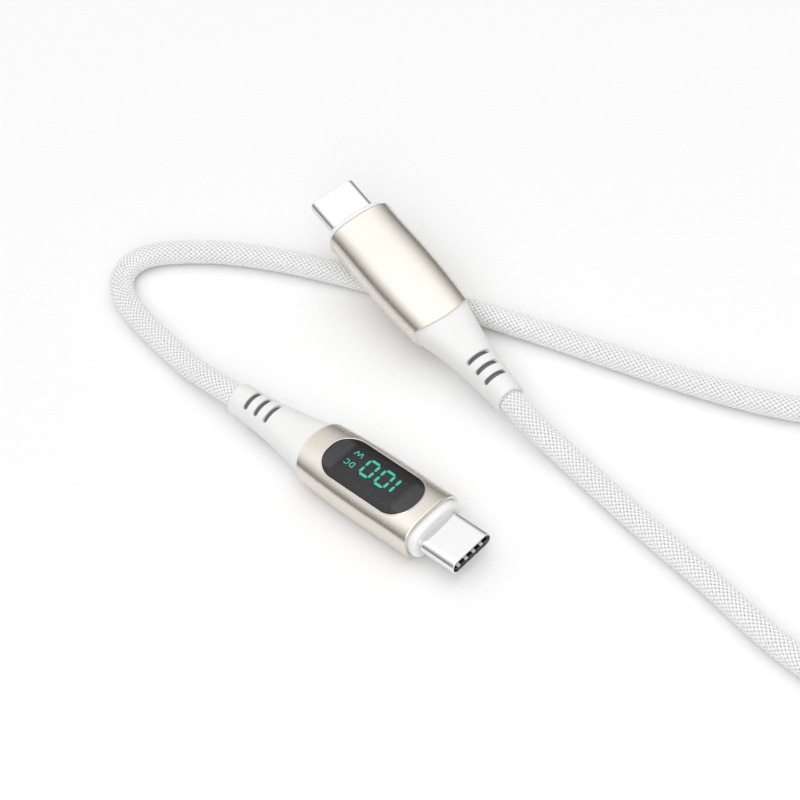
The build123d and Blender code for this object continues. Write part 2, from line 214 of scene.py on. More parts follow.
def strandProfile(tree, width, dome):
    # X points out of the cord and Y runs across the strand; the circle's three points make a
    # triangle that is 1.5 radii tall and 1.732 radii wide, so its size is brought to dome and width
    section = tree.nodes.new("GeometryNodeCurvePrimitiveCircle")
    section.mode = "RADIUS"
    section.inputs["Resolution"].default_value = 3
    section.inputs["Radius"].default_value = 1
    position = tree.nodes.new("GeometryNodeInputPosition").outputs[0]
    split = tree.nodes.new("ShaderNodeSeparateXYZ")
    link(tree, position, split.inputs[0])
    out = mathNode(tree, "MULTIPLY", split.outputs["X"], mathNode(tree, "MULTIPLY", dome, 0.6667))
    across = mathNode(tree, "MULTIPLY", split.outputs["Y"], mathNode(tree, "MULTIPLY", width, 0.5774))
    join = tree.nodes.new("ShaderNodeCombineXYZ")
    link(tree, out, join.inputs["X"])
    link(tree, across, join.inputs["Y"])
    shaped = tree.nodes.new("GeometryNodeSetPosition")
    marked = storeAttribute(tree, section.outputs[0], "acrossStrand", "FLOAT", split.outputs["Y"])
    link(tree, marked, shaped.inputs["Geometry"])
    link(tree, join.outputs[0], shaped.inputs["Position"])
    return shaped.outputs[0]


def braidTree(name):
    tree = bpy.data.node_groups.new(name, "GeometryNodeTree")
    tree.interface.new_socket("Geometry", in_out="INPUT", socket_type="NodeSocketGeometry")
    tree.interface.new_socket("Geometry", in_out="OUTPUT", socket_type="NodeSocketGeometry")
    for label in ("Pitch", "Middle", "Rise", "Width", "Dome", "Step", "Direction", "First"):
        tree.interface.new_socket(label, in_out="INPUT", socket_type="NodeSocketFloat")
    tree.interface.new_socket("Strands", in_out="INPUT", socket_type="NodeSocketInt")
    tree.interface.new_socket("Material", in_out="INPUT", socket_type="NodeSocketMaterial")
    given = tree.nodes.new("NodeGroupInput").outputs
    end = tree.nodes.new("NodeGroupOutput")

    even = tree.nodes.new("GeometryNodeResampleCurve")
    even.mode = "LENGTH"
    link(tree, given["Geometry"], even.inputs["Curve"])
    link(tree, given["Step"], even.inputs["Length"])
    tangent = tree.nodes.new("GeometryNodeInputTangent").outputs[0]
    normal = tree.nodes.new("GeometryNodeInputNormal").outputs[0]
    along = tree.nodes.new("GeometryNodeSplineParameter").outputs["Length"]
    path = storeAttribute(tree, even.outputs[0], "lineTangent", "FLOAT_VECTOR", tangent)
    path = storeAttribute(tree, path, "lineNormal", "FLOAT_VECTOR", normal)
    path = storeAttribute(tree, path, "alongCord", "FLOAT", along)

    copies = tree.nodes.new("GeometryNodeDuplicateElements")
    copies.domain = "SPLINE"
    link(tree, path, copies.inputs["Geometry"])
    link(tree, mathNode(tree, "DIVIDE", given["Strands"], 2), copies.inputs["Amount"])
    number = mathNode(tree, "MULTIPLY", copies.outputs["Duplicate Index"], 2)
    number = mathNode(tree, "ADD", number, given["First"])

    along = readAttribute(tree, "alongCord", "FLOAT")
    lineTangent = readAttribute(tree, "lineTangent", "FLOAT_VECTOR")
    lineNormal = readAttribute(tree, "lineNormal", "FLOAT_VECTOR")
    share = mathNode(tree, "DIVIDE", number, given["Strands"])
    turned = mathNode(tree, "MULTIPLY", mathNode(tree, "DIVIDE", along, given["Pitch"]), given["Direction"])
    angle = mathNode(tree, "MULTIPLY", mathNode(tree, "ADD", share, turned), 2 * math.pi)
    side = vectorNode(tree, "CROSS_PRODUCT", lineTangent, lineNormal)
    outward = vectorNode(
        tree, "ADD",
        vectorNode(tree, "SCALE", lineNormal, scale=mathNode(tree, "COSINE", angle)),
        vectorNode(tree, "SCALE", side, scale=mathNode(tree, "SINE", angle)),
    )
    # one over, one under: each strand rises and falls once in two crossings
    weave = mathNode(tree, "MULTIPLY", mathNode(tree, "DIVIDE", along, given["Pitch"]), given["Strands"])
    wave = mathNode(tree, "COSINE", mathNode(tree, "MULTIPLY", weave, 2 * math.pi))
    wave = mathNode(tree, "MULTIPLY", wave, given["Direction"])
    radius = mathNode(tree, "ADD", given["Middle"], mathNode(tree, "MULTIPLY", wave, given["Rise"]))

    woven = storeAttribute(tree, copies.outputs["Geometry"], "crest", "FLOAT", wave)
    place = tree.nodes.new("GeometryNodeSetPosition")
    link(tree, woven, place.inputs["Geometry"])
    link(tree, vectorNode(tree, "SCALE", outward, scale=radius), place.inputs["Offset"])
    face = tree.nodes.new("GeometryNodeSetCurveNormal")
    face.mode = "FREE"
    link(tree, place.outputs[0], face.inputs["Curve"])
    link(tree, outward, face.inputs["Normal"])

    ribbon = tree.nodes.new("GeometryNodeCurveToMesh")
    link(tree, face.outputs[0], ribbon.inputs["Curve"])
    link(tree, strandProfile(tree, given["Width"], given["Dome"]), ribbon.inputs["Profile Curve"])
    ribbon.inputs["Fill Caps"].default_value = True
    soft = tree.nodes.new("GeometryNodeSetShadeSmooth")
    link(tree, ribbon.outputs[0], soft.inputs["Geometry"])
    whole = tree.nodes.new("GeometryNodeRealizeInstances")
    link(tree, soft.outputs[0], whole.inputs[0])
    paint = tree.nodes.new("GeometryNodeSetMaterial")
    link(tree, whole.outputs[0], paint.inputs["Geometry"])
    link(tree, given["Material"], paint.inputs["Material"])
    link(tree, paint.outputs[0], end.inputs[0])
    return tree


def giveInputs(modifier, values):
    for item in modifier.node_group.interface.items_tree:
        if item.in_out == "INPUT" and item.name in values:
            modifier[item.identifier] = values[item.name]


def bakedCopy(source, name):
    # the evaluated shape as a plain mesh object of its own
    graph = bpy.context.evaluated_depsgraph_get()
    mesh = bpy.data.meshes.new_from_object(source.evaluated_get(graph), depsgraph=graph)
    mesh.name = name
    piece = bpy.data.objects.new(name, mesh)
    bpy.context.collection.objects.link(piece)
    return piece


def makeBraid(look, points, material):
    tree = braidTree("braidStrands")
    strands = []
    halves = (
        ("braidRightA", 1.0, 0.0),
        ("braidRightB", 1.0, 1.0),
        ("braidLeftA", -1.0, 0.0),
        ("braidLeftB", -1.0, 1.0),
    )
    for name, direction, first in halves:
        line = makeSpline(name + "Line", points, 0.0)
        modifier = line.modifiers.new("braid", "NODES")
        modifier.node_group = tree
        giveInputs(modifier, {
            "Pitch": look["pitch"] * mm,
            "Middle": look["middle"] * mm,
            "Rise": look["rise"] * mm,
            "Width": look["width"] * mm,
            "Dome": look["dome"] * mm,
            "Step": look["step"] * mm,
            "Direction": direction,
            "First": first,
            "Strands": look["strands"],
            "Material": material,
        })
        piece = bakedCopy(line, name)
        bpy.data.objects.remove(line)
        strands.append(piece)
        print(name, "has", len(piece.data.polygons), "faces")
    return strands


# hook and loop strap round the coil
strap = {
    "width": 8.0,
    "thickness": 0.6,
    "gap": 0.1,
    "overlap": 11.0,          # how far its end laps over its start
    "start": 0.62,            # where it starts, as a share of the way round
    "steps": 150,
    "edge": 0.16,             # how much its long edges are rounded
}


def outerHull(points):
    # the tight loop round a set of flat points, anticlockwise
    points = sorted(set(points))
    halves = []
    for run in (points, points[::-1]):
        chain = []
        for x, y in run:
            while len(chain) > 1:
                (ax, ay), (bx, by) = chain[-2:]
                if (bx - ax) * (y - ay) - (by - ay) * (x - ax) > 0:
                    break
                chain.pop()
            chain.append((x, y))
        halves.append(chain[:-1])
    return halves[0] + halves[1]


def strapLoop(look, coil):
    # the strap's middle line, out from the coil's middle and up, round every turn that it holds
    reach = coil["diameter"] / 2 + look["gap"] + look["thickness"] / 2
    ring = [math.radians(step * 7.5) for step in range(48)]
    points = []
    angle = coil["tieAngle"]
    while angle > coil["coilEnd"]:
        out, up = turnAt(coil, angle)
        points += [(round(out + reach * math.cos(a), 5), round(up + reach * math.sin(a), 5)) for a in ring]
        angle -= 360
    loop = np.array(outerHull(points))
    closed = np.vstack([loop, loop[:1]])
    lengths = np.concatenate([[0], np.cumsum(np.hypot(*np.diff(closed, axis=0).T))])
    return closed, lengths


def makeStrap(look, coil, material):
    closed, lengths = strapLoop(look, coil)
    around = lengths[-1]
    half, deep, edge = look["width"] / 2, look["thickness"] / 2, look["edge"]
    section = [
        (-deep, -half + edge), (-deep, -half / 3), (-deep, half / 3), (-deep, half - edge),
        (0, half), (deep, half - edge), (deep, half / 3), (deep, -half / 3), (deep, -half + edge), (0, -half),
    ]
    tie = math.radians(coil["tieAngle"])
    middle = np.array([*coil["coilMiddle"], 0.0])
    outward = np.array([math.cos(tie), math.sin(tie), 0.0])
    sideways = np.array([-math.sin(tie), math.cos(tie), 0.0])
    vertices, faces = [], []
    for step in range(look["steps"] + 1):
        along = (around + look["overlap"]) * step / look["steps"]
        places = [(along + shift + look["start"] * around) % around for shift in (-0.8, 0, 0.8)]
        before, here, after = (
            np.array([np.interp(place, lengths, closed[:, 0]), np.interp(place, lengths, closed[:, 1])])
            for place in places
        )
        run = (after - before) / np.linalg.norm(after - before)
        normal = np.array([run[1], -run[0]])
        lap = smoothStep(around - 5.0, around + 1.5, along) * look["thickness"] * 1.08
        for deepness, across in section:
            flat = here + normal * (deepness + lap)
            vertices.append((middle + outward * flat[0] + sideways * across + np.array([0, 0, flat[1]])) * mm)
    count = len(section)
    for step in range(look["steps"]):
        for index in range(count):
            a, b = step * count + index, step * count + (index + 1) % count
            faces.append((a, b, b + count, a + count))
    faces.append(tuple(range(count - 1, -1, -1)))
    faces.append(tuple(range(look["steps"] * count, look["steps"] * count + count)))
    mesh = bpy.data.meshes.new("tieStrap")
    mesh.from_pydata([tuple(vertex) for vertex in vertices], [], faces)
    mesh.materials.append(material)
    shape = bmesh.new()
    shape.from_mesh(mesh)
    bmesh.ops.recalc_face_normals(shape, faces=shape.faces)
    for face in shape.faces:
        face.smooth = len(face.verts) == 4
    shape.to_mesh(mesh)
    shape.free()
    piece = bpy.data.objects.new("tieStrap", mesh)
    bpy.context.collection.objects.link(piece)
    print("strap made,", len(mesh.polygons), "faces")
    return piece


# shader groups that more than one finish uses
def effectGroup(name, numbers, vectors=("Vector",)):
    tree = bpy.data.node_groups.new(name, "ShaderNodeTree")
    for label in vectors:
        tree.interface.new_socket(label, in_out="INPUT", socket_type="NodeSocketVector")
    for label, value in numbers.items():
        socket = tree.interface.new_socket(label, in_out="INPUT", socket_type="NodeSocketFloat")
        socket.default_value = value
    tree.interface.new_socket("Mask", in_out="OUTPUT", socket_type="NodeSocketFloat")
    return tree, tree.nodes.new("NodeGroupInput").outputs, tree.nodes.new("NodeGroupOutput").inputs["Mask"]


def noise(tree, vector, scale, detail=3.0, distortion=0.0):
    node = tree.nodes.new("ShaderNodeTexNoise")
    node.inputs["Detail"].default_value = detail
    node.inputs["Distortion"].default_value = distortion
    link(tree, vector, node.inputs["Vector"])
    if isinstance(scale, (int, float)):
        node.inputs["Scale"].default_value = scale
    else:
        link(tree, scale, node.inputs["Scale"])
    return node.outputs["Fac"]


def remap(tree, value, low, high, newLow=0.0, newHigh=1.0):
    node = tree.nodes.new("ShaderNodeMapRange")
    link(tree, value, node.inputs["Value"])
    for label, number in (("From Min", low), ("From Max", high), ("To Min", newLow), ("To Max", newHigh)):
        if isinstance(number, (int, float)):
            node.inputs[label].default_value = number
        else:
            link(tree, number, node.inputs[label])
    return node.outputs[0]


def makeGrainGroup():
    # fine lines along one axis, as a rolled, drawn or brushed metal has
    tree, given, mask = effectGroup("drawnGrain", {"Stretch": 30.0, "Scale": 9000.0, "Wander": 0.35})
    split = tree.nodes.new("ShaderNodeSeparateXYZ")
    link(tree, given["Vector"], split.inputs[0])
    joined = tree.nodes.new("ShaderNodeCombineXYZ")
    link(tree, mathNode(tree, "DIVIDE", split.outputs["X"], given["Stretch"]), joined.inputs["X"])
    link(tree, split.outputs["Y"], joined.inputs["Y"])
    link(tree, split.outputs["Z"], joined.inputs["Z"])
    lines = noise(tree, joined.outputs[0], given["Scale"], 4.0)
    broad = noise(tree, given["Vector"], 400.0, 2.0)
    broad = mathNode(tree, "MULTIPLY", mathNode(tree, "SUBTRACT", broad, 0.5), given["Wander"])
    link(tree, mathNode(tree, "ADD", lines, broad), mask)
    return tree


def makeSpeckleGroup():
    # the even fine texture of a blasted mould or a sintered coat, with softer patches under it
    tree, given, mask = effectGroup("mouldGrain", {"Scale": 6000.0, "Patches": 500.0, "Share": 0.3})
    fine = noise(tree, given["Vector"], given["Scale"], 2.0)
    soft = noise(tree, given["Vector"], given["Patches"], 3.0)
    soft = mathNode(tree, "MULTIPLY", soft, given["Share"])
    fine = mathNode(tree, "MULTIPLY", fine, mathNode(tree, "SUBTRACT", 1.0, given["Share"]))
    link(tree, mathNode(tree, "ADD", fine, soft), mask)
    return tree


def makeHandledGroup():
    # faint finger marks and rubbed places
    tree, given, mask = effectGroup("handledMarks", {"Size": 220.0, "Low": 0.46, "High": 0.7})
    warped = noise(tree, given["Vector"], given["Size"], 6.0, 1.6)
    link(tree, remap(tree, warped, given["Low"], given["High"]), mask)
    return tree


def makeScuffGroup():
    # short scratches along X, from being pushed in and pulled out
    tree, given, mask = effectGroup("plugScuffs", {"Scale": 2600.0, "Long": 9.0, "Level": 0.66})
    split = tree.nodes.new("ShaderNodeSeparateXYZ")
    link(tree, given["Vector"], split.inputs[0])
    joined = tree.nodes.new("ShaderNodeCombineXYZ")
    link(tree, mathNode(tree, "DIVIDE", split.outputs["X"], given["Long"]), joined.inputs["X"])
    link(tree, split.outputs["Y"], joined.inputs["Y"])
    link(tree, mathNode(tree, "MULTIPLY", split.outputs["Z"], 0.6), joined.inputs["Z"])
    lines = noise(tree, joined.outputs[0], given["Scale"], 1.0)
    link(tree, remap(tree, lines, given["Level"], 0.8), mask)
    return tree


drawnGrain = makeGrainGroup()
mouldGrain = makeSpeckleGroup()
handledMarks = makeHandledGroup()
plugScuffs = makeScuffGroup()


def weighted(tree, *parts):
    # the sum of several values, each times its own weight
    total = None
    for value, weight in parts:
        part = mathNode(tree, "MULTIPLY", value, weight)
        total = part if total is None else mathNode(tree, "ADD", total, part)
    return total


def effect(tree, group, vector, **numbers):
    node = tree.nodes.new("ShaderNodeGroup")
    node.node_tree = group
    link(tree, vector, node.inputs["Vector"])
    for label, value in numbers.items():
        node.inputs[label].default_value = value
    return node.outputs["Mask"]


def blendColours(tree, factor, first, second):
    node = tree.nodes.new("ShaderNodeMix")
    node.data_type = "RGBA"
    link(tree, factor, node.inputs[0])
    for socket, value in ((node.inputs[6], first), (node.inputs[7], second)):
        if isinstance(value, tuple):
            socket.default_value = (*value, 1)
        else:
            link(tree, value, socket)
    return node.outputs[2]


def bump(tree, shader, height, distance, strength=1.0):
    node = tree.nodes.new("ShaderNodeBump")
    node.inputs["Distance"].default_value = distance * mm
    node.inputs["Strength"].default_value = strength
    link(tree, height, node.inputs["Height"])
    link(tree, node.outputs["Normal"], shader.inputs["Normal"])
    return node


# where each plug's own frame lies: x runs to the tip, z out of its upper face
plugFrames = {
    "display": {"place": (17.75, 0.0, 3.5), "turn": (0.0, 0.0, 0.0)},
    "plain": {"place": (-31.0, 34.0, 9.8), "turn": (-4.3, -7.8, 167.1)},
}


def newFinish(name, roughness, metallic=0.0, plug=None, **plain):
    material = bpy.data.materials.new(name)
    material.use_nodes = True
    tree = material.node_tree
    shader = tree.nodes["Principled BSDF"]
    shader.inputs["Roughness"].default_value = roughness
    shader.inputs["Metallic"].default_value = metallic
    for label, value in plain.items():
        shader.inputs[label].default_value = value
    vector = tree.nodes.new("ShaderNodeTexCoord").outputs["Object"]
    if plug:
        turned = tree.nodes.new("ShaderNodeMapping")
        turned.vector_type = "TEXTURE"
        turned.inputs["Location"].default_value = [value * mm for value in plugFrames[plug]["place"]]
        turned.inputs["Rotation"].default_value = [math.radians(value) for value in plugFrames[plug]["turn"]]
        link(tree, vector, turned.inputs["Vector"])
        vector = turned.outputs["Vector"]
    return material, tree, shader, vector


shellLook = {"colour": (0.85, 0.85, 0.86), "worn": (0.77, 0.76, 0.75), "roughness": 0.13}


def brightSteel(plug):
    # nickel plated stamping: drawn lines, faint rubbing, scuffs near the tip
    material, tree, shader, vector = newFinish("brightSteel" + plug.title(), 0.2, 1.0, plug)
    grain = effect(tree, drawnGrain, vector, Stretch=40.0, Scale=7000.0)
    marks = effect(tree, handledMarks, vector, Size=260.0)
    scuffs = effect(tree, plugScuffs, vector, Level=0.62)
    split = tree.nodes.new("ShaderNodeSeparateXYZ")
    link(tree, vector, split.inputs[0])
    nearTip = remap(tree, split.outputs["X"], 1.5 * mm, 6.6 * mm)
    scuffs = mathNode(tree, "MULTIPLY", scuffs, nearTip)
    colour = blendColours(tree, scuffs, shellLook["colour"], shellLook["worn"])
    link(tree, colour, shader.inputs["Base Color"])
    rough = weighted(tree, (grain, 0.10), (marks, 0.10), (scuffs, 0.22))
    link(tree, mathNode(tree, "ADD", rough, shellLook["roughness"] - 0.05), shader.inputs["Roughness"])
    height = mathNode(tree, "SUBTRACT", mathNode(tree, "MULTIPLY", grain, 0.3), scuffs)
    bump(tree, shader, height, 0.0022)
    return material


springLook = {"colour": (0.62, 0.62, 0.63), "dark": (0.44, 0.44, 0.46)}


def springSteel():
    material, tree, shader, vector = newFinish("springSteel", 0.3, 1.0)
    grain = effect(tree, drawnGrain, vector, Stretch=14.0, Scale=9000.0)
    colour = blendColours(tree, grain, springLook["dark"], springLook["colour"])
    link(tree, colour, shader.inputs["Base Color"])
    link(tree, remap(tree, grain, 0.2, 0.8, 0.22, 0.42), shader.inputs["Roughness"])
    bump(tree, shader, grain, 0.002)
    return material


barrelLook = {
    "colour": (0.800, 0.755, 0.690),
    "deep": (0.730, 0.685, 0.620),
    "roughness": 0.27,
}


def pearlNickel(plug):
    # fine satin plating over blasted alloy, a warm pearl colour
    name = "pearlNickel" + plug.title()
    material, tree, shader, vector = newFinish(name, barrelLook["roughness"], 1.0, plug)
    speckle = effect(tree, mouldGrain, vector, Scale=5200.0, Patches=260.0, Share=0.12)
    marks = effect(tree, handledMarks, vector, Size=110.0, Low=0.42, High=0.75)
    grain = effect(tree, drawnGrain, vector, Stretch=10.0, Scale=5200.0, Wander=0.1)
    tone = remap(tree, weighted(tree, (speckle, 0.7), (grain, 0.3)), 0.3, 0.7)
    colour = blendColours(tree, tone, barrelLook["deep"], barrelLook["colour"])
    link(tree, colour, shader.inputs["Base Color"])
    rough = weighted(tree, (marks, 0.04), (speckle, 0.08))
    link(tree, mathNode(tree, "ADD", rough, barrelLook["roughness"] - 0.05), shader.inputs["Roughness"])
    bump(tree, shader, weighted(tree, (speckle, 1.0), (grain, 0.3)), 0.002, 0.4)
    return material


def mouldedPlastic(name, colour, shade, roughness, depth=0.004, scale=5000.0, **plain):
    # a moulded plastic or resin: fine mould texture, soft cloudy tone, faint marks
    material, tree, shader, vector = newFinish(name, roughness, 0.0, **plain)
    speckle = effect(tree, mouldGrain, vector, Scale=scale, Patches=scale * 0.08)
    marks = effect(tree, handledMarks, vector, Size=160.0)
    link(tree, blendColours(tree, speckle, shade, colour), shader.inputs["Base Color"])
    rough = weighted(tree, (speckle, 0.12), (marks, 0.08))
    link(tree, mathNode(tree, "ADD", rough, roughness - 0.08), shader.inputs["Roughness"])
    bump(tree, shader, speckle, depth)
    return material


def plainMetal(name, colour, shade, roughness, scale=8000.0, stretch=10.0):
    material, tree, shader, vector = newFinish(name, roughness, 1.0)
    grain = effect(tree, drawnGrain, vector, Stretch=stretch, Scale=scale)
    marks = effect(tree, handledMarks, vector, Size=900.0)
    link(tree, blendColours(tree, grain, shade, colour), shader.inputs["Base Color"])
    rough = weighted(tree, (grain, 0.14), (marks, 0.1))
    link(tree, mathNode(tree, "ADD", rough, roughness - 0.1), shader.inputs["Roughness"])
    bump(tree, shader, grain, 0.002)
    return material


windowLook = {
    "clear": 0.50,
    "tint": (0.036, 0.036, 0.038),
    "rim": (0.006, 0.006, 0.007),
    "roughness": 0.10,
    "sideBand": (2.6, 3.1),       # where the clear part ends, across and along the plug, mm
    "endBand": (5.7, 6.5),
    "middle": -12.7,
}


def smokedWindow():
    # dark acrylic that the lit figures show through; its colour is darker towards the long edges, and it is
    # less clear there and towards the ends
    material, tree, shader, vector = newFinish("smokedWindow", windowLook["roughness"], 0.0, "display")
    marks = effect(tree, handledMarks, vector, Size=150.0)
    split = tree.nodes.new("ShaderNodeSeparateXYZ")
    link(tree, vector, split.inputs[0])
    side = mathNode(tree, "ABSOLUTE", split.outputs["Y"])
    edge = remap(tree, side, *[value * mm for value in windowLook["sideBand"]])
    fromMiddle = mathNode(tree, "SUBTRACT", split.outputs["X"], windowLook["middle"] * mm)
    fromMiddle = mathNode(tree, "ABSOLUTE", fromMiddle)
    end = remap(tree, fromMiddle, *[value * mm for value in windowLook["endBand"]])
    shut = mathNode(tree, "MAXIMUM", edge, end)
    link(tree, blendColours(tree, edge, windowLook["tint"], windowLook["rim"]), shader.inputs["Base Color"])
    rough = windowLook["roughness"]
    link(tree, remap(tree, marks, 0.0, 1.0, rough, rough + 0.07), shader.inputs["Roughness"])
    link(tree, remap(tree, shut, 0.0, 1.0, 1 - windowLook["clear"], 0.98), shader.inputs["Alpha"])
    shader.inputs["IOR"].default_value = 1.49
    return material


litLook = {"colour": (0.05, 0.86, 0.62), "strength": 2.6}


def litBars():
    material, tree, shader, vector = newFinish("litBars", 0.4)
    cloud = noise(tree, vector, 1500.0, 2.0)
    glow = blendColours(tree, remap(tree, cloud, 0.35, 0.65), (0.03, 0.74, 0.52), litLook["colour"])
    link(tree, glow, shader.inputs["Base Color"])
    link(tree, glow, shader.inputs["Emission Color"])
    shader.inputs["Emission Strength"].default_value = litLook["strength"]
    return material


windowEdge = {
    "length": 18.0, "width": 8.1, "corner": 3.75, "middle": -12.7,
    "halfWidth": 5.8, "halfThickness": 3.5, "squareness": 2.8,
    "bead": 0.085, "beadSides": 6, "stepsPerCorner": 20,
}


def makeWindowEdge(look, plug, material):
    # the bright broken edge round the window, following the crowned face
    straightX = look["length"] / 2 - look["corner"]
    straightY = look["width"] / 2 - look["corner"]
    line = []
    for corner, (signX, signY) in enumerate(((1, 1), (-1, 1), (-1, -1), (1, -1))):
        for step in range(look["stepsPerCorner"] + 1):
            angle = math.radians(corner * 90 + 90 * step / look["stepsPerCorner"])
            x = look["middle"] + signX * straightX + look["corner"] * math.cos(angle)
            y = signY * straightY + look["corner"] * math.sin(angle)
            share = 1 - (abs(y) / look["halfWidth"]) ** look["squareness"]
            line.append(Vector((x, y, look["halfThickness"] * share ** (1 / look["squareness"]))))
    place = Vector(plug["place"])
    sides = look["beadSides"]
    vertices, faces = [], []
    for index, here in enumerate(line):
        run = (line[(index + 1) % len(line)] - line[index - 1]).normalized()
        side = run.cross(Vector((0, 0, 1))).normalized()
        up = side.cross(run)
        for turn in range(sides):
            angle = 2 * math.pi * turn / sides
            out = side * math.cos(angle) + up * math.sin(angle)
            vertices.append((place + here + out * look["bead"]) * mm)
    for index in range(len(line)):
        here = index * sides
        ahead = (index + 1) % len(line) * sides
        for turn in range(sides):
            beside = (turn + 1) % sides
            faces.append((here + turn, here + beside, ahead + beside, ahead + turn))
    mesh = bpy.data.meshes.new("windowEdge")
    mesh.from_pydata([tuple(vertex) for vertex in vertices], [], faces)
    mesh.materials.append(material)
    shape = bmesh.new()
    shape.from_mesh(mesh)
    bmesh.ops.recalc_face_normals(shape, faces=shape.faces)
    for face in shape.faces:
        face.smooth = True
    shape.to_mesh(mesh)
    shape.free()
    piece = bpy.data.objects.new("windowEdge", mesh)
    bpy.context.collection.objects.link(piece)
    return piece


def boardFinish():
    # solder mask over copper: tracks show as slightly raised, lighter lines
    material, tree, shader, vector = newFinish("greenBoard", 0.35)
    tracks = tree.nodes.new("ShaderNodeTexBrick")
    tracks.inputs["Scale"].default_value = 900.0
    tracks.inputs["Mortar Size"].default_value = 0.03
    link(tree, vector, tracks.inputs["Vector"])
    speckle = effect(tree, mouldGrain, vector, Scale=7000.0)
    colour = blendColours(tree, tracks.outputs["Fac"], (0.012, 0.16, 0.085), (0.03, 0.26, 0.14))
    link(tree, colour, shader.inputs["Base Color"])
    link(tree, remap(tree, speckle, 0.3, 0.7, 0.28, 0.42), shader.inputs["Roughness"])
    height = mathNode(tree, "ADD", tracks.outputs["Fac"], mathNode(tree, "MULTIPLY", speckle, 0.2))
    bump(tree, shader, height, 0.01)
    return material


bootLook = {
    "colour": (0.875, 0.875, 0.87),
    "shade": (0.83, 0.83, 0.825),
    # the dark colour here is a painted shade for the slits
    "inside": (0.15, 0.15, 0.155),
    "roughness": 0.46,
    "slits": (-39.15, -33.55),    # the stretch that has slits, on the plug's own x, mm
    "slitFloor": (2.24, 2.50),    # how far out the slits' painted shade fades to white, mm
}


def whiteBoot(plug):
    # soft white moulding, with a painted shade on the slits' floors where the real slits are dark inside
    material, tree, shader, vector = newFinish("whiteBoot" + plug.title(), bootLook["roughness"], 0.0, plug)
    speckle = effect(tree, mouldGrain, vector, Scale=4200.0, Patches=340.0)
    marks = effect(tree, handledMarks, vector, Size=160.0)
    split = tree.nodes.new("ShaderNodeSeparateXYZ")
    link(tree, vector, split.inputs[0])
    squares = [mathNode(tree, "MULTIPLY", split.outputs[axis], split.outputs[axis]) for axis in ("Y", "Z")]
    radius = mathNode(tree, "SQRT", mathNode(tree, "ADD", *squares))
    low, high = bootLook["slitFloor"]
    back, front = bootLook["slits"]
    # painted shade: dark on the slits' floors, fading to white towards the outer face
    deep = remap(tree, radius, high * mm, low * mm)
    behind = mathNode(tree, "GREATER_THAN", split.outputs["X"], back * mm)
    ahead = mathNode(tree, "LESS_THAN", split.outputs["X"], front * mm)
    deep = mathNode(tree, "MULTIPLY", deep, mathNode(tree, "MULTIPLY", behind, ahead))
    white = blendColours(tree, speckle, bootLook["shade"], bootLook["colour"])
    link(tree, blendColours(tree, deep, white, bootLook["inside"]), shader.inputs["Base Color"])
    rough = weighted(tree, (speckle, 0.12), (marks, 0.08))
    link(tree, mathNode(tree, "ADD", rough, bootLook["roughness"] - 0.08), shader.inputs["Roughness"])
    bump(tree, shader, speckle, 0.006)
    return material


# shade is a painted shade for the gaps, the dips under crossing strands and the strands' edges
braidLook = {"colour": (0.95, 0.95, 0.95), "shade": (0.58, 0.58, 0.59), "roughness": 0.62}


def braidYarn():
    # white polyester yarn: filaments along each strand, with painted shade where strands dive under and
    # towards each strand's edges
    material, tree, shader, vector = newFinish("whiteBraid", braidLook["roughness"])
    across = tree.nodes.new("ShaderNodeAttribute")
    across.attribute_name = "acrossStrand"
    crest = tree.nodes.new("ShaderNodeAttribute")
    crest.attribute_name = "crest"
    fluff = noise(tree, vector, 9000.0, 3.0)
    lines = mathNode(tree, "SINE", weighted(tree, (across.outputs["Fac"], 14.0), (fluff, 5.0)))
    # painted shade: darker where a strand dips under a crossing strand and near its two edges
    low = remap(tree, crest.outputs["Fac"], -1.0, 0.6)
    rim = remap(tree, mathNode(tree, "ABSOLUTE", across.outputs["Fac"]), 0.86, 0.55)
    low = remap(tree, low, 0.0, 1.0, 0.35, 1.0)
    rim = remap(tree, rim, 0.0, 1.0, 0.45, 1.0)
    light = mathNode(tree, "MULTIPLY", low, rim)
    colour = blendColours(tree, light, braidLook["shade"], braidLook["colour"])
    link(tree, colour, shader.inputs["Base Color"])
    link(tree, remap(tree, fluff, 0.3, 0.7, 0.52, 0.72), shader.inputs["Roughness"])
    shader.inputs["Sheen Weight"].default_value = 0.25
    shader.inputs["Sheen Roughness"].default_value = 0.5
    bump(tree, shader, weighted(tree, (lines, 0.5), (fluff, 1.0)), 0.012, 0.7)
    return material


def coreYarnGapShade():
    # grey core that shows between the strands; its grey is a painted shade for the gaps in the braid
    material, tree, shader, vector = newFinish("braidGroundGapShade", 0.8)
    fluff = noise(tree, vector, 7000.0, 3.0)
    link(tree, blendColours(tree, fluff, (0.52, 0.52, 0.53), (0.64, 0.64, 0.65)), shader.inputs["Base Color"])
    bump(tree, shader, fluff, 0.01)
    return material


strapLook = {"colour": (0.66, 0.66, 0.67), "shade": (0.42, 0.42, 0.43)}


def strapCloth():
    # woven strap with a napped loop face
    material, tree, shader, vector = newFinish("greyStrap", 0.9)
    loops = tree.nodes.new("ShaderNodeTexVoronoi")
    loops.inputs["Scale"].default_value = 2600.0
    link(tree, vector, loops.inputs["Vector"])
    fluff = noise(tree, vector, 5000.0, 4.0)
    tone = mathNode(tree, "ADD", mathNode(tree, "MULTIPLY", loops.outputs["Distance"], 0.8), fluff)
    tone = remap(tree, tone, 0.4, 1.2)
    link(tree, blendColours(tree, tone, strapLook["shade"], strapLook["colour"]), shader.inputs["Base Color"])
    shader.inputs["Sheen Weight"].default_value = 0.5
    bump(tree, shader, tone, 0.06)
    return material


def dress(names, material):
    for name in names:
        for held in nodes[name].material_slots:
            held.material = material


def both(name):
    return [name, "plain_" + name]


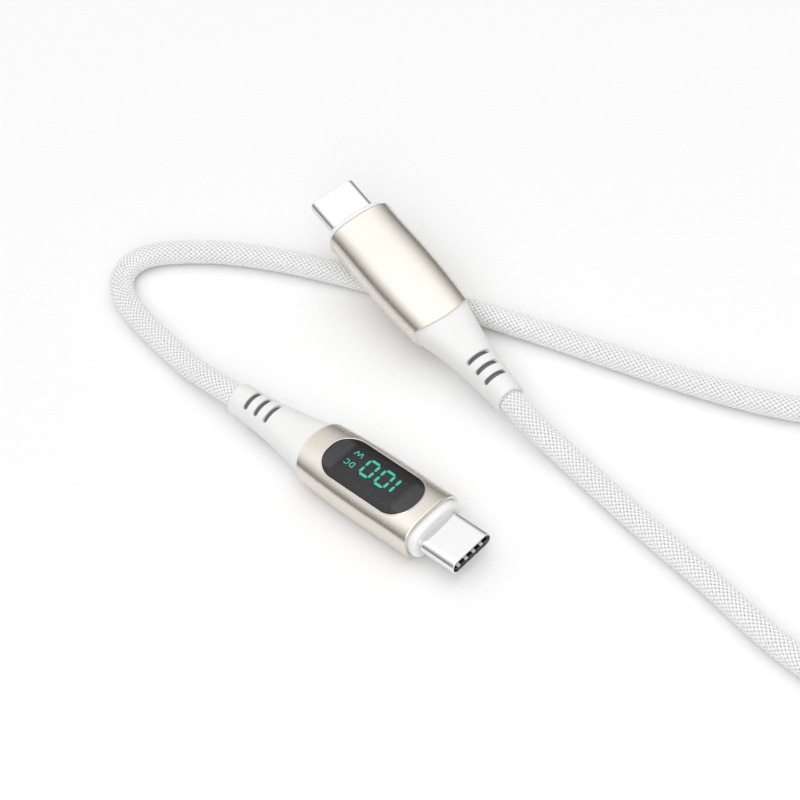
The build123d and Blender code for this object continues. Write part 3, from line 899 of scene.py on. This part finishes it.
# finishes on the rigid pieces
blackMoulding = mouldedPlastic("blackMoulding", (0.016, 0.016, 0.018), (0.010, 0.010, 0.011), 0.42)
whiteGloss = mouldedPlastic("whiteGloss", (0.90, 0.90, 0.905), (0.87, 0.87, 0.875), 0.16, 0.001, 3000.0,
                            **{"Coat Weight": 0.6, "Coat Roughness": 0.06})
spring = springSteel()
goldPlate = plainMetal("goldPlate", (0.93, 0.71, 0.34), (0.85, 0.62, 0.28), 0.22)
crimpBrass = plainMetal("crimpBrass", (0.76, 0.60, 0.33), (0.62, 0.47, 0.24), 0.34)
shuntMetal = plainMetal("shuntMetal", (0.56, 0.50, 0.46), (0.42, 0.38, 0.35), 0.36)

for plug, prefix in (("display", ""), ("plain", "plain_")):
    dress([prefix + "usb_shell"], brightSteel(plug))
    dress([prefix + "barrel_shell"], pearlNickel(plug))
    dress([prefix + "strain_relief"], whiteBoot(plug))
dress(both("contact_housing"), blackMoulding)
dress(both("upper_contacts") + both("lower_contacts"), goldPlate)
dress(both("mid_plate") + both("left_latch_arm") + both("right_latch_arm") + both("ground_springs"), spring)
dress(both("nose_collar"), whiteGloss)
dress(both("crimp_ring"), crimpBrass)
dress(both("circuit_board"), boardFinish())
chipBlack = mouldedPlastic("chipBlack", (0.03, 0.03, 0.034), (0.018, 0.018, 0.02), 0.5)
dress(["meter_chip"] + both("marker_chip"), chipBlack)
dress(["current_shunt"], shuntMetal)
dress(["board_capacitors"], mouldedPlastic("capacitorTan", (0.62, 0.47, 0.32), (0.50, 0.37, 0.25), 0.5))
dress(both("inner_mould"), mouldedPlastic("softFilling", (0.88, 0.88, 0.83), (0.80, 0.80, 0.75), 0.5))
dress(["segment_leds"], mouldedPlastic("lampBody", (0.85, 0.83, 0.66), (0.75, 0.73, 0.56), 0.25))
dress(["window_lens"], smokedWindow())
dress(["window_gasket"], mouldedPlastic("blackSeal", (0.010, 0.010, 0.011), (0.006, 0.006, 0.007), 0.6))
dress(["segment_housing"], mouldedPlastic("housingBlack", (0.022, 0.022, 0.024), (0.016, 0.016, 0.018), 0.5))
dress(["unlit_segments"], mouldedPlastic("darkBar", (0.026, 0.030, 0.030), (0.020, 0.023, 0.023), 0.45))
dress(["lit_segments", "unit_legend"], litBars())
for name, colour in {
    "power_wire": (0.62, 0.03, 0.025), "ground_wire": (0.02, 0.02, 0.022),
    "data_wires": (0.82, 0.82, 0.80), "signal_wire": (0.04, 0.12, 0.55),
}.items():
    shade = tuple(value * 0.8 for value in colour)
    dress(both(name), mouldedPlastic(name.replace("_", " ").title().replace(" ", ""), colour, shade, 0.38))
cutMetal = plainMetal("brightEdge", (0.93, 0.90, 0.84), (0.88, 0.85, 0.79), 0.22)
brightEdge = makeWindowEdge(windowEdge, plugFrames["display"], cutMetal)
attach(brightEdge, "root")
print("finishes on")


# cord pieces
braidWhite = braidYarn()
cordCore.data.materials.append(coreYarnGapShade())
strands = makeBraid(braid, cordPoints, braidWhite)
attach(cordCore, "root")
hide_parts("cord_display_run", "cord_coil", "cord_plain_run")
for piece in strands:
    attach(piece, "root")
tieStrap = makeStrap(strap, cord, strapCloth())
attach(tieStrap, "root")
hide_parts("cable_tie")


# floor and light
studio = {
    "floor": (0.93, 0.93, 0.93),
    # the dome over the table: how bright it is at each height, 0 at the horizon and 1 overhead
    "dome": ((0.0, 0.22), (0.28, 0.24), (0.46, 0.42), (0.60, 0.72), (0.76, 0.96), (0.86, 1.45), (1.0, 1.65)),
    "domeTop": 1.7,
    "front": {"place": (0.45, -0.45, 0.55), "size": (0.60, 0.60), "power": 1.8},
    "aim": (0.0, 0.015, 0.005),
}


def makeFloor(look):
    mesh = bpy.data.meshes.new("floor")
    half = 3.0
    drop = -0.1 * mm
    corners = [(-half, -half, drop), (half, -half, drop), (half, half, drop), (-half, half, drop)]
    mesh.from_pydata(corners, [], [(0, 1, 2, 3)])
    floor = bpy.data.objects.new("floor", mesh)
    bpy.context.collection.objects.link(floor)
    material, tree, shader, vector = newFinish("paleFloor", 0.9)
    cloud = noise(tree, vector, 6.0, 2.0)
    shade = tuple(value * 0.985 for value in look["floor"])
    link(tree, blendColours(tree, cloud, shade, look["floor"]), shader.inputs["Base Color"])
    mesh.materials.append(material)


def makeLight(name, look, aim):
    data = bpy.data.lights.new(name, "AREA")
    data.shape = "RECTANGLE"
    data.size, data.size_y = look["size"]
    data.energy = look["power"]
    lamp = bpy.data.objects.new(name, data)
    lamp.location = look["place"]
    toward = Vector(aim) - Vector(look["place"])
    lamp.rotation_euler = toward.to_track_quat("-Z", "Y").to_euler()
    bpy.context.collection.objects.link(lamp)


def makeDome(look):
    # a wide soft dome, brightest overhead, that falls off towards the horizon
    world = bpy.data.worlds.new("studio")
    bpy.context.scene.world = world
    world.use_nodes = True
    tree = world.node_tree
    background = tree.nodes["Background"]
    split = tree.nodes.new("ShaderNodeSeparateXYZ")
    link(tree, tree.nodes.new("ShaderNodeTexCoord").outputs["Generated"], split.inputs[0])
    ramp = tree.nodes.new("ShaderNodeValToRGB")
    ramp.color_ramp.interpolation = "B_SPLINE"
    steps = ramp.color_ramp.elements
    while len(steps) < len(look["dome"]):
        steps.new(1.0)
    for step, (height, bright) in zip(steps, look["dome"]):
        step.position = height
        step.color = (*[bright / look["domeTop"]] * 3, 1)
    link(tree, split.outputs["Z"], ramp.inputs[0])
    link(tree, ramp.outputs["Color"], background.inputs["Color"])
    background.inputs["Strength"].default_value = look["domeTop"]


makeFloor(studio)
makeDome(studio)
makeLight("frontLight", studio["front"], studio["aim"])
bpy.context.scene.view_settings.view_transform = "Standard"
